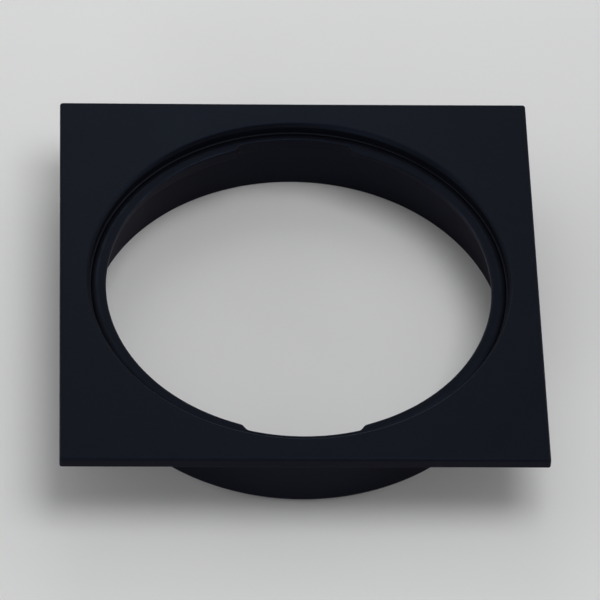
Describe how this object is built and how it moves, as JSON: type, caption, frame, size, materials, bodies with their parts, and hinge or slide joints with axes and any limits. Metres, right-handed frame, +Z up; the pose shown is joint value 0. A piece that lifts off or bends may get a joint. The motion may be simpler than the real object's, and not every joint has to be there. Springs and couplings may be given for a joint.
{
  "type": "toilet flange",
  "caption": "Square black plastic floor flange with a round waste bore, an inner twist-lock ring that swivels, and a short pipe spigot below.",
  "frame": {"origin": "on the bore's axis at the spigot's lower end", "axes": "+Z up along the bore's axis, +X and +Y along the plate's sides; at rest the ring's lug gaps lie on the Y axis"},
  "size_m": [0.12, 0.12, 0.022],
  "materials": {
    "plate_black": "fine spark-eroded grain, near-black with a slight blue cast",
    "ring_black": "smooth satin moulding with a light sheen on its edges",
    "spigot_black": "smooth satin moulding",
    "seal_rubber": "smooth moulded rubber",
    "gasket_rubber": "matt sheet rubber"
  },
  "bodies": {
    "flange_body": {"face_plate": "plate_black", "spigot": "spigot_black", "glide_seal": "seal_rubber", "floor_gasket": "gasket_rubber"},
    "swivel_ring": {"bayonet_ring": "ring_black"}
  },
  "joints": [
    {"name": "ring_swivel", "type": "hinge", "parent": "flange_body", "child": "swivel_ring", "pos_m": [0, 0, 0.0174], "axis": [0, 0, 1], "continuous": true}
  ]
}
